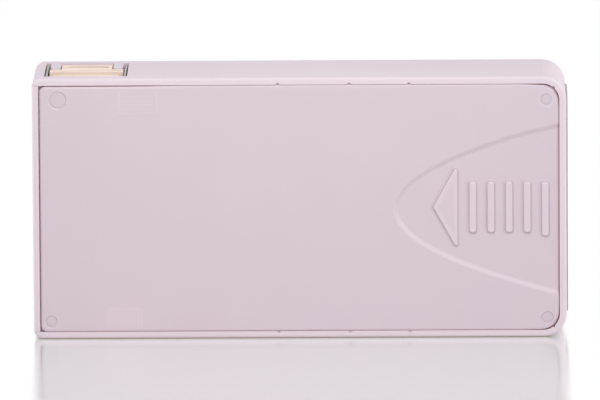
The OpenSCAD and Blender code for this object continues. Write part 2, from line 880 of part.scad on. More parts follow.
module positive_plate() {
    notch_h = lead_high + lead_d / 2 + 2 * slot_gap - plate_z;
    color("#c9ccd0") {
        difference() {
            translate([bay_x, 0, 0]) contact_plate();
            translate([bay_x - eps, mid_y - lead_d / 2 - 2 * slot_gap, plate_z - eps])
                cube([plate_t + 2 * eps, lead_d + 4 * slot_gap, notch_h + eps]);
        }
        for (s = [-1, 1])
            translate([bay_x + plate_t - nest, mid_y + s * cell_offset, cell_z]) along_x()
                cylinder(d1 = dimple_big_d, d2 = dimple_small_d, h = dimple_h + nest);
        translate([partition_x - tab_reach, tab_y - tab_w / 2, board_top])
            cube([bay_x + nest - partition_x + tab_reach, tab_w, plate_t]);
    }
}

module negative_plate() {
    color("#c9ccd0") translate([bay_end - plate_t, 0, 0]) contact_plate();
}

// Centre line of a conical spring, from its plate at x = 0 to its cell
function spring_path() =
    let (
        steps = spring_turns * spring_steps,
        start = spring_wire / 2 + spring_seat,
        rise = spring_len - spring_wire - 2 * spring_seat,
        big = (spring_big_d - spring_wire) / 2,
        small = (spring_small_d - spring_wire) / 2
    )
    [for (i = [0:steps])
        let (t = i / steps, r = big + (small - big) * t, a = 360 * spring_turns * t)
        [-start - rise * t, r * cos(a), r * sin(a)]];

// Least gap between one turn and the next, measured on the centre line
function spring_gap() =
    let (path = spring_path(), apart = spring_steps / 2)
    min([for (i = [0:len(path) - 1], j = [i + apart:1:len(path) - 1]) norm(path[i] - path[j])]) - spring_wire;
echo(least_spring_gap = spring_gap());

module spring(s) {
    color("#d5d7da") translate([bay_end - plate_t, mid_y + s * cell_offset, cell_z])
        tube(spring_path(), spring_wire, [1, 0, 0], 8);
}

// The lead lies under the cells and climbs through the partition onto the board
module negative_lead() {
    route = [
        [bay_end - plate_t - nest, mid_y, lead_low],
        [(bay_x + bay_end) / 2, mid_y, lead_low],
        [bay_x + lead_bend + 2 * lead_d, mid_y, lead_low],
        for (i = [0:lead_steps])
            let (t = i / lead_steps, climb = t * t * (3 - 2 * t))
            [bay_x + lead_bend * (1 - 2 * t), mid_y, lead_low + climb * (lead_high - lead_low)],
        [partition_x - lead_end, mid_y, lead_high]
    ];
    color("#28282a") tube(route, lead_d, [0, 1, 0], 12);
}

// Cells

module place_cell(s) {
    translate([cell_x, mid_y + s * cell_offset, cell_z]) along_x() children();
}

// Outline of a can or its sleeve from cap to base, with the crimp groove near the cap
function can_profile(r, top, base) =
    let (waist = r - crimp_depth, start = cap_h + crimp_at, stop = start + 2 * crimp_slope + crimp_flat)
    [
        [r - can_bevel, top], [r, cap_h + can_bevel], [r, start], [waist, start + crimp_slope],
        [waist, stop - crimp_slope], [r, stop], [r, base - can_bevel], [r - can_bevel, base]
    ];

function reversed(list) = [for (i = [len(list) - 1:-1:0]) list[i]];

module cell_can(s) {
    r = cell_d / 2 - sleeve_t - nest;
    color("#b5b8bc") place_cell(s) rotate_extrude()
        polygon(concat([[0, cap_h]], can_profile(r, cap_h, can_base), [[0, can_base]]));
}

// The sleeve follows the can and folds in over both ends
module cell_sleeve(s) {
    r = cell_d / 2;
    top = cap_h - ring_t - nest;
    base = can_base + nest;
    outside = can_profile(r, top - sleeve_t, cell_len);
    inside = can_profile(r - sleeve_t, top, base);
    near_fold = [[r - sleeve_fold, top], [r - sleeve_fold, top - sleeve_t]];
    far_fold = [[r - sleeve_fold, cell_len], [r - sleeve_fold, base]];
    color("#3f7fb8") place_cell(s) rotate_extrude()
        polygon(concat(near_fold, outside, far_fold, reversed(inside)));
}

module cell_ring(s) {
    outer = cell_d - 2 * sleeve_t - 4 * can_bevel;
    color("#f1f0ea") place_cell(s) translate([0, 0, cap_h - ring_t]) difference() {
        cylinder(d = outer, h = ring_t);
        translate([0, 0, -eps]) cylinder(d = cap_d + 2 * slot_gap, h = ring_t + 2 * eps);
    }
}

module cell_cap(s) {
    color("#cfd2d6") place_cell(s) cylinder(d1 = cap_d - cap_taper, d2 = cap_d, h = cap_h);
}

stand() case();
stand() end_pad();
stand() sliding_cover();
stand() inner_deck();
stand() deck_screws();
stand() circuit_board();
stand() socket_shell();
stand() socket_block();
stand() output_contacts();
stand() input_shell();
stand() input_tongue();
stand() input_contacts();
stand() power_button();
stand() switch_plunger();
stand() switch_body();
stand() light_guide();
stand() indicator_leds();
stand() control_chip();
stand() boost_inductor();
stand() bulk_capacitor();
stand() small_capacitors();
stand() positive_plate();
stand() negative_plate();
stand() spring(1);  // upper_spring
stand() spring(-1);  // lower_spring
stand() negative_lead();
stand() cell_can(1);  // upper_cell_can
stand() cell_sleeve(1);  // upper_cell_sleeve
stand() cell_ring(1);  // upper_cell_ring
stand() cell_cap(1);  // upper_cell_cap
stand() cell_can(-1);  // lower_cell_can
stand() cell_sleeve(-1);  // lower_cell_sleeve
stand() cell_ring(-1);  // lower_cell_ring
stand() cell_cap(-1);  // lower_cell_cap
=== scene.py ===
import json
import math

import bpy
from mathutils import Matrix, Vector
from mathutils.geometry import delaunay_2d_cdt


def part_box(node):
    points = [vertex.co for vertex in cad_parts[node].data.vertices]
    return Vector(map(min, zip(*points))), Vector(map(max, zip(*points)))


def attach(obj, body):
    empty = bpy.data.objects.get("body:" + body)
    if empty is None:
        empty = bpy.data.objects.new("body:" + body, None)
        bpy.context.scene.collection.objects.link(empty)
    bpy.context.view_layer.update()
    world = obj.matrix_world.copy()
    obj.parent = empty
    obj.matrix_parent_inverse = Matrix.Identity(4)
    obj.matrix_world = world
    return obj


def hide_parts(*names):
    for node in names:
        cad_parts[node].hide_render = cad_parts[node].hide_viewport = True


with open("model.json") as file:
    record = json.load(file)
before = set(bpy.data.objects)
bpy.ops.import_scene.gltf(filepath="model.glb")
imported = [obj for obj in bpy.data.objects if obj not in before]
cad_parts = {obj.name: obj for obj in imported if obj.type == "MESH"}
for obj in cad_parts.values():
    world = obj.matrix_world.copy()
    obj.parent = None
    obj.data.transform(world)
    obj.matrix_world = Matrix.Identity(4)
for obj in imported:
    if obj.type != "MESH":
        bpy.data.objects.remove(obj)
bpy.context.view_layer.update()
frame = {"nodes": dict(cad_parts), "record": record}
nodes = frame["nodes"]
scene = bpy.context.scene
MM = 0.001

# Digits by which points of a mesh count as one place, and the angle in degrees from which an edge is sharp
PLACE_DIGITS = 5
SHARP_ANGLE = 40

# Camera: angles in degrees, lengths in metres, the sensor in millimetres, the focal length in image pixels
IMAGE_WIDTH = 600
SENSOR = 36
AZIMUTH = 0.578
ELEVATION = 8.589
ROLL = -0.351
DISTANCE = 2.0
FOCAL_PIXELS = 11657.6
TARGET = Vector((-0.00016, 0, 0.022138))
CLIP = (0.01, 20)

# Light: each lamp's name, its place, aim and size in metres and its watts, and the strength of the world
LAMPS = (
    ("key", (0.0, -0.1525, 0.2005), (0, 0, 0.022), (0.10, 0.08), 0.22),
    ("side", (0.9, -0.9, 0.5), (0, 0, 0.02), (0.5, 0.5), 2.5),
    ("right", (1.0, 0.13, 0.0225), (0, 0, 0.0225), (0.3, 0.3), 5.2),
    ("left", (-1.0, 0.13, 0.0225), (0, 0, 0.0225), (0.3, 0.3), 4.6),
)
WORLD_LIGHT = 0.55
WHITE = (1, 1, 1, 1)
BLACK = (0, 0, 0, 1)

# Floor: its size in metres, its gap under the object in millimetres, and what it does with light
FLOOR_SIZE = 12
FLOOR_GAP = 0.01
FLOOR_MIRROR = (0.89, 0.8, 0.845)
FLOOR_ROUGHNESS = 0.18
FLOOR_MATT = 0.05
FLOOR_BOUNCE = 0.8
FLOOR_DAYLIGHT = 0.6

# Each step of painted light makes a place on the cover brighter by this share, or darker with painted
# shade where it is below 0
PAINTED_LIGHT_STEP = 0.05

# Cover, in millimetres: u runs along it from the socket end, v up it, h out of its face
TONGUE_REACH = 0.5
TONGUE_T = 0.7
TONGUE_END = 84.35
COVER_NEAR_R = 1.1
COVER_FAR_R = 3.0
ARC_STEPS = 34
LONG_STEPS = 44
FAR_STEPS = 170
NEAR_STEPS = 6
FACE_SUNK = 0.02

# Rounded edge of the face: its share of drop along the long sides, and how much wider it is at the top
COVER_EDGE_R = 0.4
EDGE_STEPS = 6
LONG_DROP = 0.6
TOP_SOFT = 0.6
TOP_SOFT_POWER = 8

# Ledge in the seam round the face, and how far its far corners are drawn out
LEDGE_DEPTH = 0.7
LEDGE_OUT = 0.12
LEDGE_FAR_R = 2.65
LEDGE_CORNER = (1.95, 2.25)

# Bar at the socket end, with the seam between it and the face
BAR_W = 1.1
BAR_OUTER_R = 0.5
BAR_INNER_R = 0.2
BAR_FIT = 0.1
# The bar is made lighter, to the case's tone, and its rounded outer edge brighter still with a painted
# highlight
BAR_CASE_TONE = 2.6
BAR_EDGE_PAINTED_HIGHLIGHT = 5
SEAM_W = 0.35
SEAM_DEPTH = 1.0

# How far the edges of the face are drawn out towards the rim: each end, the low edge and the high edge
FIT_NEAR = 0.2
FIT_FAR = 0.11
FIT_FAR_ENDS = 0.0
FIT_LOW = 0.13
FIT_LOW_FAR = 0.06
FIT_HIGH_NEAR = 0.02
FIT_HIGH = 0.135
FIT_HIGH_FAR = -0.14

# Where one amount passes into the next: near and far along u, and out from the middle along v
NEAR_RUN = (14, 26)
FAR_RUN = (81, 86.5)
ENDS_RUN = (16.5, 19.5)

# Least radius of a corner that is drawn in
LEAST_R = 0.02

# Thumb recess with a sloped wall
RECESS_U = 60.5
RECESS_LEN = 27.8
RECESS_HALF = 14.5
RECESS_DROP = 0.29
RECESS_DEPTH = 0.42
RECESS_WALL = 1.05
WALL_LINES = 11
WALL_STEPS = 60
WALL_STOP = 0.05
# Painted light on the recess wall, on its low side and on its high side
LOW_WALL_PAINTED_LIGHT = 1.0
HIGH_WALL_PAINTED_LIGHT = 0.5

# Raised grips in the recess: the arrow with a shallow dish, and the ribs
GRIP_H = 0.4
GRIP_TOP_R = 0.22
GRIP_FOOT_R = 0.22
GRIP_DRAFT = 0.06
GRIP_STEPS = 5
GRIP_BEND_STEPS = 6
# Painted shade on the grips' feet and on the floor at their near side, and painted highlights on their
# upper edges and ends
GRIP_FOOT_PAINTED_SHADE = 0.9
GRIP_NEAR_PAINTED_SHADE = 2
GRIP_PAINTED_SHADE_REACH = 0.45
GRIP_ENDS_PAINTED_HIGHLIGHT = 1.4
DISH_IN = 0.9
DISH_DEPTH = 0.02
ARROW_U = 66.75
ARROW_LEN = 4.35
ARROW_HALF = 6.64
ARROW_BLUNT = 0.62
ARROW_R = 0.3
ARROW_PAINTED_HIGHLIGHT = 1.4
RIB_U = 73.6
RIB_PITCH = 3.08
RIB_COUNT = 5
RIB_WIDTH = 1.36
RIB_LEN = 8.9
RIB_R = 0.55
RIB_PAINTED_HIGHLIGHT = 1.5
LAST_RIB_EXTRA = 0.55

# Round marks that the mould leaves on the cover: a low lip, a groove and a disc
MARGIN = 0.03
MARK_STEPS = 40
MARK_LIP_H = 0.02
MARK_LIP_PEAK = 0.4
# Painted highlight on the lip and painted shade in the groove; the disc is made darker
MARK_LIP_PAINTED_HIGHLIGHT = 2
LEAST_LIP = 0.03
NARROW_LIP = 0.11
WIDE_LIP = 0.3
MARK_GROOVE = 0.46
MARK_GROOVE_FLOOR = (0.35, 0.65)
MARK_GROOVE_PAINTED_SHADE = 2
MARK_DEPTH = 0.12
MARK_SUNK = 0.02
MARK_DISC_DARKENING = 0.7
MARK_R = 1.1
NEAR_MARK_IN = (1.75, 1.75)
LOW_MARK_IN = (1.97, 2.07)
HIGH_MARK_IN = (2.15, 2.5)
LARGE_MARK_IN = (3.1, 2.4)
LARGE_MARK_R = 1.6

# Marks of the mould's two lifters, each with a box of u and v, and the sunk lines in the high one
LIFTER_H = 0.018
LIFTER_LINE = 0.14
LIFTER_R = 0.5
LIFTER_SIDE = 0.99
# Painted highlight on the raised lines and inside the low lifter
LIFTER_PAINTED_HIGHLIGHT = 0.4
LOW_LIFTER = (11.2, 0.46, 17.4, 4.1)
HIGH_LIFTER = (13.3, 36.9, 20.1, 41.45)
LINE_R = 0.14
LINE_SLOPE = 0.8
LINE_IN = 0.56
LINE_W = 0.34
LINE_V = 37.55
LINE_PITCH = 0.69
LINE_COUNT = 5
LINE_BEND_STEPS = 3

# Springs and lead, in millimetres
SPRING_WIRE = 0.8
SPRING_BIG_D = 11.6
SPRING_SMALL_D = 5.6
SPRING_TURNS = 3
SPRING_LEN = 4.0
SPRING_SEAT = 0.05
SPRING_SIDES = 16
TURN_STEPS = 48
LEAD_D = 1.5
LEAD_END = 2.6
LEAD_BEND = 2.5
LEAD_SIDES = 20
RUN_STEPS = 20
CLIMB_STEPS = 24
PARTITION_T = 1.6


# Meshes


class Shell:
    """Points and faces of one mesh, where points in one place are shared, and the painted light and tone
    of points.
    """

    def __init__(self):
        self.points = []
        self.index = {}
        self.faces = []
        self.painted_light_and_tone = {}

    def point(self, *place):
        """Index of the point at a place, which is added if it is new."""
        key = tuple(round(c, PLACE_DIGITS) for c in place)
        if key not in self.index:
            self.index[key] = len(self.points)
            self.points.append(place)
        return self.index[key]

    def face(self, corners):
        """A face, unless too few of its corners lie apart."""
        loop = [c for i, c in enumerate(corners) if c != corners[i - 1]]
        if len(set(loop)) > 2:
            self.faces.append(loop)

    def strip(self, first, second):
        """Faces between two rings with the same number of points."""
        count = len(first)
        for i in range(count):
            k = (i + 1) % count
            self.face([first[i], first[k], second[k], second[i]])

    def object(self, name, place, material):
        """The mesh as an object, with its points put where place says, in metres."""
        mesh = bpy.data.meshes.new(name)
        mesh.from_pydata([place(*p) for p in self.points], [], self.faces)
        # Point attribute of painted light and shade, and of the bar's lighter tone
        painted_light_share = mesh.attributes.new("painted_light_and_tone", "FLOAT", "POINT")
        for index, share in self.painted_light_and_tone.items():
            painted_light_share.data[index].value = share
        mesh.validate()
        mesh.shade_smooth()
        mesh.set_sharp_from_angle(angle=math.radians(SHARP_ANGLE))
        mesh.materials.append(material)
        piece = bpy.data.objects.new(name, mesh)
        scene.collection.objects.link(piece)
        normals = piece.modifiers.new("normals", "WEIGHTED_NORMAL")
        normals.keep_sharp = True
        return piece


def between(a, b, t):
    return a + (b - a) * t


def ease(t):
    """A soft step from 0 to 1."""
    t = min(max(t, 0), 1)
    return t * t * (3 - 2 * t)


def passed(way, run):
    """How much of a run lies behind: 0 before it, 1 past it."""
    return ease((way - run[0]) / (run[1] - run[0]))


def arc(centre, radius, start, turn, steps):
    """Points of an arc, in degrees, with both ends."""
    angles = [math.radians(start + turn * i / steps) for i in range(steps + 1)]
    return [(centre[0] + radius * math.cos(a), centre[1] + radius * math.sin(a)) for a in angles]


def rounded_polygon(corners, radius, offset, steps):
    """Points round a convex polygon with round corners, anticlockwise, grown outwards by offset."""
    points = []
    count = len(corners)
    for i in range(count):
        here = Vector(corners[i])
        before = (here - Vector(corners[i - 1])).normalized()
        after = (Vector(corners[(i + 1) % count]) - here).normalized()
        normal_in = Vector((before.y, -before.x))
        normal_out = Vector((after.y, -after.x))
        middle = (normal_in + normal_out).normalized()
        bend = max(radius, LEAST_R - offset)
        centre = here - middle * (bend / middle.dot(normal_in))
        start = math.degrees(math.atan2(normal_in.y, normal_in.x))
        turn = math.degrees(normal_in.angle(normal_out))
        points += arc(centre, bend + offset, start, turn, steps)
    return points


def tube(name, path, diameter, sides, material):
    """A round tube with closed ends along a path of points in metres."""
    shell = Shell()
    rings = []
    normal = None
    for i, here in enumerate(path):
        along = (path[min(i + 1, len(path) - 1)] - path[max(i - 1, 0)]).normalized()
        if normal is None:
            normal = along.orthogonal()
        normal = (normal - along * normal.dot(along)).normalized()
        across = along.cross(normal)
        ring = []
        for k in range(sides):
            a = math.tau * k / sides
            spot = here + (normal * math.cos(a) + across * math.sin(a)) * (diameter / 2)
            ring.append(shell.point(*spot))
        rings.append(ring)
    for first, second in zip(rings, rings[1:]):
        shell.strip(first, second)
    shell.face(rings[0][::-1])
    shell.face(rings[-1])
    return shell.object(name, lambda *p: p, material)


# Cover

cover_low, cover_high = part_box("sliding_cover")
cover_x = cover_low[0] + (BAR_W + SEAM_W) * MM
cover_w = (cover_high[0] - cover_x) / MM
cover_h = (cover_high[2] - cover_low[2]) / MM - 2 * TONGUE_REACH
cover_t = (cover_high[1] - cover_low[1]) / MM
cover_mid = cover_h / 2
recess_mid = cover_mid - RECESS_DROP


def cover_place(u, v, h):
    """A point of the cover in metres, with the edges of its face drawn out towards the rim."""
    if u >= 0 and h > -LEDGE_DEPTH:
        far = passed(u, FAR_RUN)
        high = between(between(FIT_HIGH_NEAR, FIT_HIGH, passed(u, NEAR_RUN)), FIT_HIGH_FAR, far)
        low = between(FIT_LOW, FIT_LOW_FAR, far)
        v += between(-low, high, v / cover_h)
        end = between(FIT_FAR, FIT_FAR_ENDS, passed(abs(v - cover_mid), ENDS_RUN))
        u += between(-FIT_NEAR, end, u / cover_w)
    return (cover_x + u * MM, cover_low[1] - (h - FACE_SUNK) * MM, cover_low[2] + (TONGUE_REACH + v) * MM)


def recess_slope(s):
    """Slope, u against v, of the recess's outline at s, from -1 at its low end to 1 at its high end."""
    return 2 * RECESS_LEN * s / RECESS_HALF


def recess_height(u, v):
    """Height of the face, which sinks across a wall along the recess's outline."""
    s = (v - recess_mid) / RECESS_HALF
    inside = (u - RECESS_U - RECESS_LEN * s * s) / math.hypot(1, recess_slope(s))
    return -RECESS_DEPTH * ease(inside / RECESS_WALL + 0.5)


def cover_outline(inset, far=COVER_FAR_R):
    """(u, v, on a tongue) round the cover, anticlockwise, drawn in by inset."""
    w, h = cover_w, cover_h
    near = COVER_NEAR_R
    low, high = inset, h - inset
    points = [(u, v, False) for u, v in arc((near, near), near - inset, 180, 90, ARC_STEPS)]
    points += [(between(near, TONGUE_END, i / LONG_STEPS), low, True) for i in range(LONG_STEPS + 1)]
    points.append((TONGUE_END, low, False))
    points += [(u, v, False) for u, v in arc((w - far, far), far - inset, 270, 90, ARC_STEPS)]
    points += [(w - inset, between(far, h - far, i / FAR_STEPS), False) for i in range(1, FAR_STEPS)]
    points += [(u, v, False) for u, v in arc((w - far, h - far), far - inset, 0, 90, ARC_STEPS)]
    points.append((TONGUE_END, high, False))
    points += [(between(TONGUE_END, near, i / LONG_STEPS), high, True) for i in range(LONG_STEPS + 1)]
    points += [(u, v, False) for u, v in arc((near, h - near), near - inset, 90, 90, ARC_STEPS)]
    points += [(inset, between(h - near, near, i / NEAR_STEPS), False) for i in range(1, NEAR_STEPS)]
    return points


def ledge_outline():
    """The outline grown to just inside the rim, with the far corners drawn out into the bay's corners."""
    centre_u = cover_w - LEDGE_FAR_R
    points = []
    for (u, v, _), (out_u, out_v, _) in zip(cover_outline(0), cover_outline(-LEDGE_OUT, LEDGE_FAR_R)):
        centre_v = LEDGE_FAR_R if v < cover_mid else cover_h - LEDGE_FAR_R
        du = out_u - centre_u
        dv = out_v - centre_v
        if u <= COVER_NEAR_R:
            points.append((u, v))
        elif du > 0 and dv * (v - cover_mid) > 0:
            grow = max(1, min(LEDGE_CORNER[0] / du, LEDGE_CORNER[1] / abs(dv)))
            points.append((centre_u + du * grow, centre_v + dv * grow))
        else:
            points.append((out_u, out_v))
    return points


def grip_rings(corners, radius, painted_light_share, dish=()):
    """Rings of a raised grip, from the floor round it to its top, or to a dish in it with its own corners.

    The foot and the floor at its near side carry painted shade. The upper edge carries a painted
    highlight, most of all at the ends.
    """
    low = min(v for _, v in corners)
    high = max(v for _, v in corners)
    outer = rounded_polygon(corners, radius, GRIP_FOOT_R + GRIP_PAINTED_SHADE_REACH, GRIP_BEND_STEPS)
    inner = rounded_polygon(corners, radius, GRIP_FOOT_R, GRIP_BEND_STEPS)
    rings = [[(u, v, -RECESS_DEPTH, 0) for u, v in outer], []]
    for (u, v), (outer_u, _) in zip(inner, outer):
        facing_near = max(0, u - outer_u) / GRIP_PAINTED_SHADE_REACH
        rings[1].append((u, v, -RECESS_DEPTH, -GRIP_NEAR_PAINTED_SHADE * facing_near))

    # Painted shade on the foot up to a third of the height, and a painted highlight on the edge from two
    # thirds on
    foot = arc((GRIP_FOOT_R, GRIP_FOOT_R), GRIP_FOOT_R, 270, -90, GRIP_STEPS)
    top = arc((-GRIP_DRAFT - GRIP_TOP_R, GRIP_H - GRIP_TOP_R), GRIP_TOP_R, 0, 90, GRIP_STEPS)
    for offset, lift in foot[1:] + top:
        share = lift / GRIP_H
        foot_shade = GRIP_FOOT_PAINTED_SHADE * ease(2 - 3 * share)
        edge_highlight = painted_light_share * ease(3 * share - 2)
        ring = []
        for u, v in rounded_polygon(corners, radius, offset, GRIP_BEND_STEPS):
            end = 1 + max(v - high, low - v, -radius) / radius
            ring.append((u, v, lift - RECESS_DEPTH, edge_highlight * (1 + GRIP_ENDS_PAINTED_HIGHLIGHT * end) - foot_shade))
        rings.append(ring)
    if dish:
        ring = rounded_polygon(dish, radius, -GRIP_DRAFT - DISH_IN, GRIP_BEND_STEPS)
        rings.append([(u, v, GRIP_H - DISH_DEPTH - RECESS_DEPTH, 0) for u, v in ring])
    return rings


def mark_rings(u, v, radius, lip):
    """Rings of a round mark: a low lip with a painted highlight, then a groove with painted shade round a
    disc that lies a little low and is darker.
    """
    floor_start, floor_end = MARK_GROOVE_FLOOR
    profile = [
        (-lip - MARGIN, 0, 0),
        (-lip, 0, 0),
        (-lip * MARK_LIP_PEAK, MARK_LIP_H, MARK_LIP_PAINTED_HIGHLIGHT),
        (0, 0, 0),
        (MARK_GROOVE * floor_start, -MARK_DEPTH, -MARK_GROOVE_PAINTED_SHADE),
        (MARK_GROOVE * floor_end, -MARK_DEPTH, -MARK_GROOVE_PAINTED_SHADE),
        (MARK_GROOVE, -MARK_SUNK, -MARK_DISC_DARKENING),
        (MARK_GROOVE + MARGIN, -MARK_SUNK, -MARK_DISC_DARKENING),
    ]
    rings = []
    for inset, height, painted_light_and_tone in profile:
        ring = arc((u, v), radius - inset, 0, 360, MARK_STEPS)[:-1]
        rings.append([(a, b, height, painted_light_and_tone) for a, b in ring])
    return rings


def box_corners(u0, v0, u1, v1):
    return [(u0, v0), (u1, v0), (u1, v1), (u0, v1)]


def line_rings(box):
    """Rings of a fine straight line sunk into the face."""
    rings = []
    for inset, height in ((-MARGIN, 0), (0, 0), (LINE_R * LINE_SLOPE, -LIFTER_H)):
        ring = rounded_polygon(box_corners(*box), LINE_R, -inset, LINE_BEND_STEPS)
        rings.append([(u, v, height, 0) for u, v in ring])
    return rings


def lifter_rings(box, low, high, painted_light_share=0):
    """Rings of a raised line round a box, with a painted highlight on the line and on the box's inside by
    a share.

    On its low and high side the line is raised by a share too, with a painted highlight of the same share:
    it is open there at 0, and sunk with painted shade below 0.
    """
    _, v0, _, v1 = box
    bend = LIFTER_R * LIFTER_SIDE
    profile = [
        (-MARGIN, 0, False),
        (0, 0, False),
        (LIFTER_LINE, 1, False),
        (2 * LIFTER_LINE, 1, True),
        (3 * LIFTER_LINE, 0, True),
        (3 * LIFTER_LINE + MARGIN, 0, True),
    ]
    rings = []
    for inset, raised, inside in profile:
        ring = []
        for u, v in rounded_polygon(box_corners(*box), LIFTER_R, -inset, LINE_BEND_STEPS):
            share = raised * (low if v < v0 + bend else high if v > v1 - bend else 1)
            ring.append((u, v, share * LIFTER_H, max(share, painted_light_share) if inside else share))
        rings.append(ring)
    return rings


def cover_features():
    """Closed rings of points on the cover's face, each with u, v, h and its painted light and tone."""
    rings = []
    tip = (ARROW_U, cover_mid)
    arrow_end = ARROW_U + ARROW_LEN
    arrow_low, arrow_high = cover_mid - ARROW_HALF, cover_mid + ARROW_HALF
    arrow = [
        tip,
        (arrow_end - ARROW_BLUNT, arrow_low),
        (arrow_end, arrow_low),
        (arrow_end, arrow_high),
        (arrow_end - ARROW_BLUNT, arrow_high),
    ]
    dish = [tip, (arrow_end, arrow_low), (arrow_end, arrow_high)]
    rings += grip_rings(arrow, ARROW_R, ARROW_PAINTED_HIGHLIGHT, dish)
    for i in range(RIB_COUNT):
        u = RIB_U + i * RIB_PITCH
        low = cover_mid - RIB_LEN / 2 - (LAST_RIB_EXTRA if i == RIB_COUNT - 1 else 0)
        high = cover_mid + RIB_LEN / 2
        rib = box_corners(u - RIB_WIDTH / 2, low, u + RIB_WIDTH / 2, high)
        rings += grip_rings(rib, RIB_R, RIB_PAINTED_HIGHLIGHT)
    rings += mark_rings(NEAR_MARK_IN[0], NEAR_MARK_IN[1], MARK_R, NARROW_LIP)
    rings += mark_rings(cover_w - LOW_MARK_IN[0], LOW_MARK_IN[1], MARK_R, LEAST_LIP)
    rings += mark_rings(cover_w - HIGH_MARK_IN[0], cover_h - HIGH_MARK_IN[1], MARK_R, WIDE_LIP)
    rings += mark_rings(LARGE_MARK_IN[0], cover_h - LARGE_MARK_IN[1], LARGE_MARK_R, NARROW_LIP)
    rings += lifter_rings(LOW_LIFTER, 0, 1, LIFTER_PAINTED_HIGHLIGHT)
    rings += lifter_rings(HIGH_LIFTER, -1, 0)
    for i in range(LINE_COUNT):
        v = LINE_V + i * LINE_PITCH
        rings += line_rings((HIGH_LIFTER[0] + LINE_IN, v, HIGH_LIFTER[2] - LINE_IN, v + LINE_W))
    return rings


def wall_lines():
    """Lines along the recess's sloped wall, which stop short of the cover's far edge."""
    lines = []
    for k in range(WALL_LINES):
        across = 2 * k / (WALL_LINES - 1) - 1
        away = RECESS_WALL * across / 2
        line = []
        for i in range(-WALL_STEPS, WALL_STEPS + 1):
            s = i / WALL_STEPS
            slope = recess_slope(s)
            size = math.hypot(1, slope)
            u = RECESS_U + RECESS_LEN * s * s + away / size
            v = recess_mid + RECESS_HALF * s - away * slope / size
            # Painted light across the wall, most in its middle and more on the low side
            painted_light_share = (1 - across * across) * between(HIGH_WALL_PAINTED_LIGHT, LOW_WALL_PAINTED_LIGHT, ease(0.5 - s))
            if u < cover_w - COVER_EDGE_R - WALL_STOP:
                line.append((u, v, recess_height(u, v), painted_light_share))
        lines.append(line)
    return lines


def add_cover_edge(shell):
    """The rounded edge of the face. Its first ring lies in the seam and its last on the face."""
    drops = []
    for (u, v, _), (_, inner_v, _) in zip(cover_outline(0), cover_outline(COVER_EDGE_R)):
        share = abs(inner_v - v) / COVER_EDGE_R
        if v > cover_mid:
            share *= passed(u, NEAR_RUN)
        drops.append(between(COVER_EDGE_R, COVER_EDGE_R * LONG_DROP, share))
    rings = []
    for k in range(EDGE_STEPS + 1):
        a = math.pi / 2 * k / EDGE_STEPS
        inset = COVER_EDGE_R * (1 - math.cos(a))
        ring = []
        for (u, v, _), drop in zip(cover_outline(inset), drops):
            v -= TOP_SOFT * inset * (v / cover_h) ** TOP_SOFT_POWER
            ring.append(shell.point(u, v, recess_height(u, v) - drop * (1 - math.sin(a))))
        rings.append(ring)
    for outer, inner in zip(rings, rings[1:]):
        shell.strip(outer, inner)
    return rings[0], rings[-1]


def add_cover_back(shell, seam):
    """A ledge in the seam, walls down to the tongues, the tongues and the underside."""
    shoulder = TONGUE_T - cover_t
    ledge = ledge_outline()
    ledge_edge = [shell.point(u, v, -LEDGE_DEPTH) for u, v in ledge]
    wall_foot = [shell.point(u, v, shoulder) for u, v in ledge]
    reach = []
    for u, v, tongue in cover_outline(0):
        out = TONGUE_REACH if tongue else 0
        reach.append((u, v - out if v < cover_mid else v + out))
    upper = [shell.point(u, v, shoulder) for u, v in reach]
    lower = [shell.point(u, v, -cover_t) for u, v in reach]
    shell.strip(ledge_edge, seam)
    shell.strip(wall_foot, ledge_edge)
    shell.strip(upper, wall_foot)
    shell.strip(lower, upper)
    shell.face(lower[::-1])


def add_cover_bar(shell):
    """The bar before the seam, and the web under the seam."""
    profile = [(-SEAM_W - BAR_W, -cover_t)]
    profile += arc((-SEAM_W - BAR_W + BAR_OUTER_R, -BAR_OUTER_R), BAR_OUTER_R, 180, -90, EDGE_STEPS)
    profile += arc((-SEAM_W - BAR_INNER_R, -BAR_INNER_R), BAR_INNER_R, 90, -90, EDGE_STEPS)
    profile += [(-SEAM_W, -SEAM_DEPTH), (COVER_EDGE_R, -SEAM_DEPTH), (COVER_EDGE_R, -cover_t)]
    ends = []
    for v in (-BAR_FIT, cover_h + BAR_FIT):
        ends.append([shell.point(u, v, h) for u, h in profile])
        for i, c in enumerate(ends[-1]):
            # A painted highlight on the bar's rounded outer edge, and the case's lighter tone on the rest
            shell.painted_light_and_tone[c] = BAR_EDGE_PAINTED_HIGHLIGHT if i < EDGE_STEPS else BAR_CASE_TONE
    shell.strip(*ends)
    shell.face(ends[0][::-1])
    shell.face(ends[1])


def add_cover_face(shell, rim):
    """The face inside the rounded edge, with all that is moulded into it."""
    border = [(*shell.points[c], 0) for i, c in enumerate(rim) if c != rim[i - 1]]
    lines = [(border, True)]
    lines += [(ring, True) for ring in cover_features()]
    lines += [(line, False) for line in wall_lines()]
    places = []
    edges = []
    for line, closed in lines:
        start = len(places)
        places += line
        edges += [(start + i, start + i + 1) for i in range(len(line) - 1)]
        if closed:
            edges.append((start + len(line) - 1, start))
    flat = [Vector(p[:2]) for p in places]
    spots, _, triangles, sources, _, _ = delaunay_2d_cdt(flat, edges, [], 0, 10**-PLACE_DIGITS)
    corners = []
    for spot, source in zip(spots, sources):
        u, v, h, painted_light_and_tone = places[source[0]] if source else (*spot, recess_height(*spot), 0)
        corners.append(shell.point(u, v, h))
        shell.painted_light_and_tone[corners[-1]] = painted_light_and_tone
    for triangle in triangles:
        shell.face([corners[i] for i in triangle])


def build_cover(material):
    """The cover as one mesh of two closed shells: its body, and the bar that reaches into it."""
    shell = Shell()
    seam, rim = add_cover_edge(shell)
    add_cover_back(shell, seam)
    add_cover_bar(shell)
    add_cover_face(shell, rim)
    return shell.object("cover_shell", cover_place, material)


# Springs and lead


